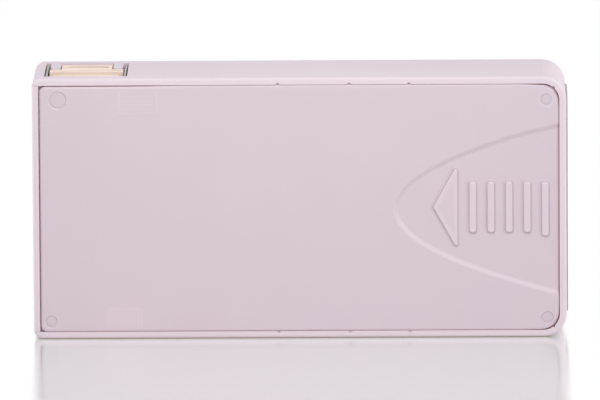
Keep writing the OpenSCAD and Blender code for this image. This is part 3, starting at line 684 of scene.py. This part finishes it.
def spring_path(cell):
    """Centre line of a conical spring from the negative plate to the cell's base."""
    low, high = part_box(cell)
    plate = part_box("negative_plate")[0][0]
    centre_y = (low[1] + high[1]) / 2
    centre_z = (low[2] + high[2]) / 2
    big = (SPRING_BIG_D - SPRING_WIRE) / 2
    small = (SPRING_SMALL_D - SPRING_WIRE) / 2
    start = SPRING_WIRE / 2 + SPRING_SEAT
    rise = SPRING_LEN - SPRING_WIRE - 2 * SPRING_SEAT
    steps = SPRING_TURNS * TURN_STEPS
    path = []
    for i in range(steps + 1):
        t = i / steps
        radius = between(big, small, t) * MM
        a = math.tau * SPRING_TURNS * t
        x = plate - (start + rise * t) * MM
        path.append(Vector((x, centre_y - radius * math.sin(a), centre_z + radius * math.cos(a))))
    return path


def lead_path():
    """The lead under the cells, which climbs through the partition onto the board."""
    low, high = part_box("negative_lead")
    run = high[1] - LEAD_D / 2 * MM
    board = low[1] + LEAD_D / 2 * MM
    z = (low[2] + high[2]) / 2
    bay = low[0] + (LEAD_END + PARTITION_T) * MM
    turn = bay + 2 * LEAD_BEND * MM
    path = [Vector((between(high[0], turn, i / RUN_STEPS), run, z)) for i in range(RUN_STEPS)]
    for i in range(CLIMB_STEPS + 1):
        t = i / CLIMB_STEPS
        path.append(Vector((bay + LEAD_BEND * (1 - 2 * t) * MM, between(run, board, ease(t)), z)))
    path.append(Vector((low[0], board, z)))
    return path


# Materials

BUMP_STRENGTH = 0.5


def linear(red, green, blue):
    """A screen colour from 0 to 255 as the linear colour that shaders take."""
    shares = [c / 255 for c in (red, green, blue)]
    return tuple(s / 12.92 if s <= 0.04045 else ((s + 0.055) / 1.055) ** 2.4 for s in shares)


class Paint:
    """A material with a principled shader, and short calls that add nodes to it."""

    def __init__(self, name, roughness, **sockets):
        self.material = bpy.data.materials.new(name)
        self.material.use_nodes = True
        self.tree = self.material.node_tree
        self.shader = self.tree.nodes["Principled BSDF"]
        self.place = self.add("ShaderNodeTexCoord").outputs["Object"]
        self.shader.inputs["Roughness"].default_value = roughness
        for socket, value in sockets.items():
            self.shader.inputs[socket.replace("_", " ")].default_value = value

    def add(self, kind, **settings):
        node = self.tree.nodes.new(kind)
        for key, value in settings.items():
            setattr(node, key, value)
        return node

    def link(self, output, socket):
        self.tree.links.new(output, socket)

    def stretch(self, scale):
        """Coordinates with a factor along each axis."""
        mapping = self.add("ShaderNodeMapping")
        mapping.inputs["Scale"].default_value = scale
        self.link(self.place, mapping.inputs["Vector"])
        return mapping.outputs["Vector"]

    def noise(self, size, detail=2.0, place=None):
        """A noise whose lumps are about size millimetres across."""
        node = self.add("ShaderNodeTexNoise")
        node.inputs["Scale"].default_value = 1 / (size * MM)
        node.inputs["Detail"].default_value = detail
        self.link(place or self.place, node.inputs["Vector"])
        return node.outputs["Fac"]

    def remap(self, value, low, high, start=0.3, end=0.7):
        """A value that goes from low to high while the given one goes from start to end."""
        node = self.add("ShaderNodeMapRange")
        for socket, number in (("From Min", start), ("From Max", end), ("To Min", low), ("To Max", high)):
            node.inputs[socket].default_value = number
        self.link(value, node.inputs["Value"])
        return node.outputs["Result"]

    def mix(self, factor, first, second, blend="MIX"):
        """A blend of two colours, each of them fixed or an output."""
        node = self.add("ShaderNodeMix", data_type="RGBA", blend_type=blend)
        self.link(factor, node.inputs["Factor"])
        for socket, colour in ((node.inputs["A"], first), (node.inputs["B"], second)):
            if isinstance(colour, tuple):
                socket.default_value = (*colour, 1)
            else:
                self.link(colour, socket)
        return node.outputs["Result"]

    def colour(self, output):
        self.link(output, self.shader.inputs["Base Color"])

    def rough(self, output):
        self.link(output, self.shader.inputs["Roughness"])

    def bump(self, height, depth):
        """Raises the surface by up to depth millimetres."""
        node = self.add("ShaderNodeBump")
        node.inputs["Strength"].default_value = BUMP_STRENGTH
        node.inputs["Distance"].default_value = depth * MM
        self.link(height, node.inputs["Height"])
        self.link(node.outputs["Normal"], self.shader.inputs["Normal"])


# Factors on a plastic's colour where it drifts to a cooler tone, with the drift's size and greatest share
COOL = (0.968, 0.985, 1.012)
COOL_SIZE = 1.7
COOL_SHARE = 0.7

# Factors of painted shade, darker and warmer, where a seam is closed in, how far it looks for walls in
# millimetres, and the openness it spans
PAINTED_SHADE_TINT = (1.0, 0.85, 0.74)
PAINTED_SHADE_REACH = 0.5
PAINTED_SHADE_SPAN = (0.05, 0.5)
PAINTED_SHADE_SAMPLES = 6

# How far a plastic's roughness goes up and down with its grain
ROUGH_SPREAD = 0.05

# Streaks of a metal: their size and depth in millimetres, the shade between them, and how rough they range
STREAK_SIZE = 0.3
STREAK_DEPTH = 0.003
STREAK_SHADE = 0.9
STREAK_ROUGH = (-0.08, 0.1)


def shade(colour, factor):
    return tuple(c * factor for c in colour)


def moulded(
    name,
    colour,
    roughness=0.45,
    spread=0.012,
    grain=0.12,
    depth=0.004,
    cloud=14,
    painted_light_share=0,
    painted_shade=0,
    **sockets,
):
    """Moulded plastic with soft clouds, a fine grain, painted light and shade from a point attribute, and
    painted shade in its seams.

    The clouds change the colour by the share spread. Cloud, grain and depth are sizes in millimetres.
    """
    paint = Paint(name, roughness, **sockets)
    clouds = paint.remap(paint.noise(cloud, 3), 0, 1)
    base = paint.mix(clouds, shade(colour, 1 - spread), shade(colour, 1 + spread))
    cool = tuple(c * t for c, t in zip(colour, COOL))
    base = paint.mix(paint.remap(paint.noise(cloud * COOL_SIZE, 2), 0, COOL_SHARE), base, cool)
    # Painted light and shade: the colour is scaled up where the point attribute is above 0 and down below
    # 0
    if painted_light_share:
        painted_light_and_tone = paint.add("ShaderNodeAttribute", attribute_name="painted_light_and_tone")
        level = paint.add("ShaderNodeMath", operation="MULTIPLY_ADD")
        level.inputs[1].default_value = painted_light_share
        level.inputs[2].default_value = 1
        paint.link(painted_light_and_tone.outputs["Fac"], level.inputs[0])
        scaled = paint.add("ShaderNodeVectorMath", operation="SCALE")
        paint.link(base, scaled.inputs[0])
        paint.link(level.outputs[0], scaled.inputs["Scale"])
        base = scaled.outputs[0]
    # Painted shade: the colour turns darker and warmer where walls close in, in seams and hollows
    if painted_shade:
        hollow = paint.add("ShaderNodeAmbientOcclusion", samples=PAINTED_SHADE_SAMPLES)
        hollow.inputs["Distance"].default_value = PAINTED_SHADE_REACH * MM
        base = paint.mix(paint.remap(hollow.outputs["AO"], painted_shade, 0, *PAINTED_SHADE_SPAN), base, PAINTED_SHADE_TINT, "MULTIPLY")
    paint.colour(base)
    fine = paint.noise(grain, 2)
    paint.rough(paint.remap(fine, roughness - ROUGH_SPREAD, roughness + ROUGH_SPREAD))
    paint.bump(fine, depth)
    return paint.material


def plated(name, colour, roughness, streak):
    """Plated or bare metal with fine streaks, drawn together along each axis by the factors of streak."""
    paint = Paint(name, roughness, Metallic=1.0)
    lines = paint.noise(STREAK_SIZE, 3, paint.stretch(streak))
    paint.colour(paint.mix(paint.remap(lines, 0, 1), shade(colour, STREAK_SHADE), colour))
    paint.rough(paint.remap(lines, *(roughness + change for change in STREAK_ROUGH)))
    paint.bump(lines, STREAK_DEPTH)
    return paint.material


def board_laminate():
    """Green solder mask over fine copper tracks."""
    paint = Paint("board_laminate", 0.35)
    tracks = paint.add("ShaderNodeTexBrick", offset=0.5, squash=0.6)
    tracks.inputs["Scale"].default_value = 1 / (4 * MM)
    tracks.inputs["Mortar Size"].default_value = 0.03
    tracks.inputs["Color1"].default_value = BLACK
    tracks.inputs["Color2"].default_value = BLACK
    tracks.inputs["Mortar"].default_value = WHITE
    turn = paint.add("ShaderNodeMapping")
    turn.inputs["Rotation"].default_value = (math.pi / 2, 0, 0)
    paint.link(paint.place, turn.inputs["Vector"])
    paint.link(turn.outputs["Vector"], tracks.inputs["Vector"])
    mask = paint.mix(paint.remap(paint.noise(3), 0, 1), linear(30, 84, 54), linear(38, 98, 64))
    paint.colour(paint.mix(tracks.outputs["Color"], mask, linear(62, 128, 80)))
    paint.bump(tracks.outputs["Color"], 0.03)
    return paint.material


def socket_plastic():
    """Beige moulded block with fine flow lines along the sockets."""
    paint = Paint("socket_plastic", 0.5)
    flow = paint.add("ShaderNodeTexWave", bands_direction="Y")
    flow.inputs["Scale"].default_value = 1 / (11 * MM)
    flow.inputs["Distortion"].default_value = 3.5
    flow.inputs["Detail"].default_value = 2
    flow.inputs["Detail Scale"].default_value = 1.2
    paint.link(paint.place, flow.inputs["Vector"])
    lines = paint.remap(flow.outputs["Fac"], 0, 1, 0.0, 0.45)
    paint.colour(paint.mix(lines, linear(232, 203, 190), linear(253, 232, 219)))
    paint.bump(paint.noise(0.15), 0.006)
    return paint.material


def clear_plastic():
    """Frosted clear plastic that carries light."""
    paint = Paint("clear_plastic", 0.35, Transmission_Weight=0.5, IOR=1.49)
    haze = paint.remap(paint.noise(0.8, 3), 0, 1)
    paint.colour(paint.mix(haze, linear(226, 226, 222), linear(244, 244, 240)))
    paint.bump(paint.noise(0.1), 0.005)
    return paint.material


def cell_sleeve():
    """Blue shrink film with faint wrinkles drawn along the cell."""
    paint = Paint("cell_sleeve", 0.3, Coat_Weight=0.25, Coat_Roughness=0.12)
    wrinkle = paint.noise(1.6, 3, paint.stretch((0.12, 1, 1)))
    paint.colour(paint.mix(paint.remap(wrinkle, 0, 1), linear(42, 100, 152), linear(58, 122, 178)))
    paint.rough(paint.remap(wrinkle, 0.24, 0.38))
    paint.bump(wrinkle, 0.03)
    return paint.material


CASE_COLOUR = linear(228, 213, 221)
COVER_COLOUR = linear(215, 199, 208)
NICKEL = linear(158, 154, 148)

materials = {
    "case_plastic": moulded("case_plastic", CASE_COLOUR, 0.6, painted_shade=1, Specular_IOR_Level=0.25),
    "cover_plastic": moulded("cover_plastic", COVER_COLOUR, 0.4, painted_light_share=PAINTED_LIGHT_STEP, painted_shade=1),
    # Grey pad on the right end: a real part whose grey also stands in for the end face's shade, painted
    # shade
    "pad_rubber": moulded("pad_rubber", linear(176, 174, 176), 0.75, spread=0.03, grain=0.2, depth=0.02),
    "deck_plastic": moulded("deck_plastic", linear(224, 217, 222)),
    "button_plastic": moulded("button_plastic", linear(209, 194, 204), 0.4),
    "screw_steel": plated("screw_steel", linear(168, 168, 171), 0.32, (1, 6, 1)),
    "board_laminate": board_laminate(),
    "shell_steel": plated("shell_steel", NICKEL, 0.3, (1, 1, 10)),
    "socket_plastic": socket_plastic(),
    "contact_gold": plated("contact_gold", linear(217, 176, 92), 0.25, (1, 1, 8)),
    "contact_nickel": plated("contact_nickel", linear(194, 194, 196), 0.28, (1, 1, 6)),
    "black_plastic": moulded("black_plastic", linear(28, 28, 30), 0.5, spread=0.1),
    "white_plastic": moulded("white_plastic", linear(234, 232, 224), 0.5),
    "clear_plastic": clear_plastic(),
    "led_resin": moulded("led_resin", linear(235, 224, 184), 0.2, spread=0.03, grain=0.3, depth=0.002),
    "ferrite": moulded("ferrite", linear(61, 59, 56), 0.7, spread=0.15, grain=0.2, depth=0.02, cloud=0.6),
    "capacitor_can": plated("capacitor_can", linear(189, 191, 196), 0.3, (1, 8, 1)),
    "capacitor_ceramic": moulded(
        "capacitor_ceramic", linear(168, 138, 102), spread=0.05, grain=0.2, depth=0.005, cloud=0.8
    ),
    "lead_insulation": moulded(
        "lead_insulation", linear(22, 22, 24), 0.55, spread=0.1, grain=0.15, depth=0.01
    ),
    "cell_can": plated("cell_can", linear(178, 181, 184), 0.3, (8, 1, 1)),
    "cell_sleeve": cell_sleeve(),
}
for part in frame["record"]["subparts"]:
    mesh = nodes[part["node"]].data
    mesh.materials.clear()
    mesh.materials.append(materials[part["material_slot"]])

cover = build_cover(materials["cover_plastic"])
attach(cover, "cover")
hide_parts("sliding_cover")
for side in ("upper", "lower"):
    path = spring_path(side + "_cell_can")
    spring = tube(side + "_coil", path, SPRING_WIRE * MM, SPRING_SIDES, materials["contact_nickel"])
    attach(spring, "case")
    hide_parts(side + "_spring")
lead = tube("lead_wire", lead_path(), LEAD_D * MM, LEAD_SIDES, materials["lead_insulation"])
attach(lead, "case")
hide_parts("negative_lead")


# Stage


def add_camera():
    """A long lens that looks down a little at the target, with a slight roll."""
    azimuth, elevation, roll = (math.radians(a) for a in (AZIMUTH, ELEVATION, ROLL))
    level = math.cos(elevation)
    back = Vector((math.sin(azimuth) * level, -math.cos(azimuth) * level, math.sin(elevation)))
    right = Vector((math.cos(azimuth), math.sin(azimuth), 0))
    up = back.cross(right)
    turned_right = right * math.cos(roll) + up * math.sin(roll)
    turned_up = up * math.cos(roll) - right * math.sin(roll)
    data = bpy.data.cameras.new("camera")
    data.sensor_fit = "HORIZONTAL"
    data.sensor_width = SENSOR
    data.lens = SENSOR * FOCAL_PIXELS / IMAGE_WIDTH
    data.clip_start, data.clip_end = CLIP
    camera = bpy.data.objects.new("camera", data)
    scene.collection.objects.link(camera)
    columns = (turned_right, turned_up, back, TARGET + back * DISTANCE)
    camera.matrix_world = Matrix([[*(c[row] for c in columns)] for row in range(3)] + [[0, 0, 0, 1]])
    scene.camera = camera


def add_lamp(name, place, aim, size, power):
    data = bpy.data.lights.new(name, "AREA")
    data.shape = "RECTANGLE"
    data.size, data.size_y = size
    data.energy = power
    lamp = bpy.data.objects.new(name, data)
    scene.collection.objects.link(lamp)
    lamp.location = place
    lamp.rotation_euler = (Vector(aim) - Vector(place)).to_track_quat("-Z", "Y").to_euler()


def seen_rays(tree):
    """1 for rays that show a surface to the camera, straight, mirrored or through glass, otherwise 0."""
    path = tree.nodes.new("ShaderNodeLightPath")
    seen = path.outputs["Is Camera Ray"]
    for kind in ("Is Glossy Ray", "Is Transmission Ray"):
        either = tree.nodes.new("ShaderNodeMath")
        either.operation = "MAXIMUM"
        tree.links.new(seen, either.inputs[0])
        tree.links.new(path.outputs[kind], either.inputs[1])
        seen = either.outputs[0]
    return seen


def add_node(tree, kind, **sockets):
    """A shader with values for some of its sockets, as its output."""
    node = tree.nodes.new("ShaderNode" + kind)
    for socket, value in sockets.items():
        node.inputs[socket].default_value = value
    return node.outputs[0]


def blend(tree, first, second, factor=None):
    """Two shaders added up, or mixed where a factor is given."""
    node = tree.nodes.new("ShaderNodeAddShader" if factor is None else "ShaderNodeMixShader")
    sources = (first, second) if factor is None else (factor, first, second)
    for source, socket in zip(sources, node.inputs):
        tree.links.new(source, socket)
    return node.outputs[0]


def add_world():
    """Even light all round, seen as plain white by the camera and in reflections."""
    world = bpy.data.worlds.new("world")
    world.use_nodes = True
    scene.world = world
    tree = world.node_tree
    tree.nodes.clear()
    lit = add_node(tree, "Background", Color=WHITE, Strength=WORLD_LIGHT)
    seen = add_node(tree, "Background", Color=WHITE, Strength=1)
    output = tree.nodes.new("ShaderNodeOutputWorld")
    tree.links.new(blend(tree, lit, seen, seen_rays(tree)), output.inputs[0])


def floor_material():
    """A pale polished floor that the camera sees white wherever it lies open.

    The camera gets a mirrored share of each colour, a matt share that shadows darken, and a glow for the
    rest. The matt share is what an open place shows in the daylight that falls on it.
    """
    material = bpy.data.materials.new("floor_surface")
    material.use_nodes = True
    tree = material.node_tree
    tree.nodes.clear()
    rest = [1 - share - FLOOR_MATT for share in FLOOR_MIRROR]
    matt = FLOOR_MATT / FLOOR_DAYLIGHT
    bounce = add_node(tree, "BsdfDiffuse", Color=(FLOOR_BOUNCE, FLOOR_BOUNCE, FLOOR_BOUNCE, 1))
    glow = add_node(tree, "Emission", Color=(*rest, 1))
    mirror = add_node(tree, "BsdfGlossy", Color=(*FLOOR_MIRROR, 1), Roughness=FLOOR_ROUGHNESS)
    shadowed = add_node(tree, "BsdfDiffuse", Color=(matt, matt, matt, 1))
    seen = blend(tree, blend(tree, glow, shadowed), mirror)
    output = tree.nodes.new("ShaderNodeOutputMaterial")
    tree.links.new(blend(tree, bounce, seen, seen_rays(tree)), output.inputs[0])
    return material


def add_floor(material):
    mesh = bpy.data.meshes.new("floor")
    half = FLOOR_SIZE / 2
    corners = [(-half, -half, 0), (half, -half, 0), (half, half, 0), (-half, half, 0)]
    mesh.from_pydata(corners, [], [(0, 1, 2, 3)])
    mesh.materials.append(material)
    floor = bpy.data.objects.new("floor", mesh)
    scene.collection.objects.link(floor)
    floor.location.z = -FLOOR_GAP * MM


scene.view_settings.view_transform = "Standard"
add_camera()
add_world()
for lamp in LAMPS:
    add_lamp(*lamp)
add_floor(floor_material())
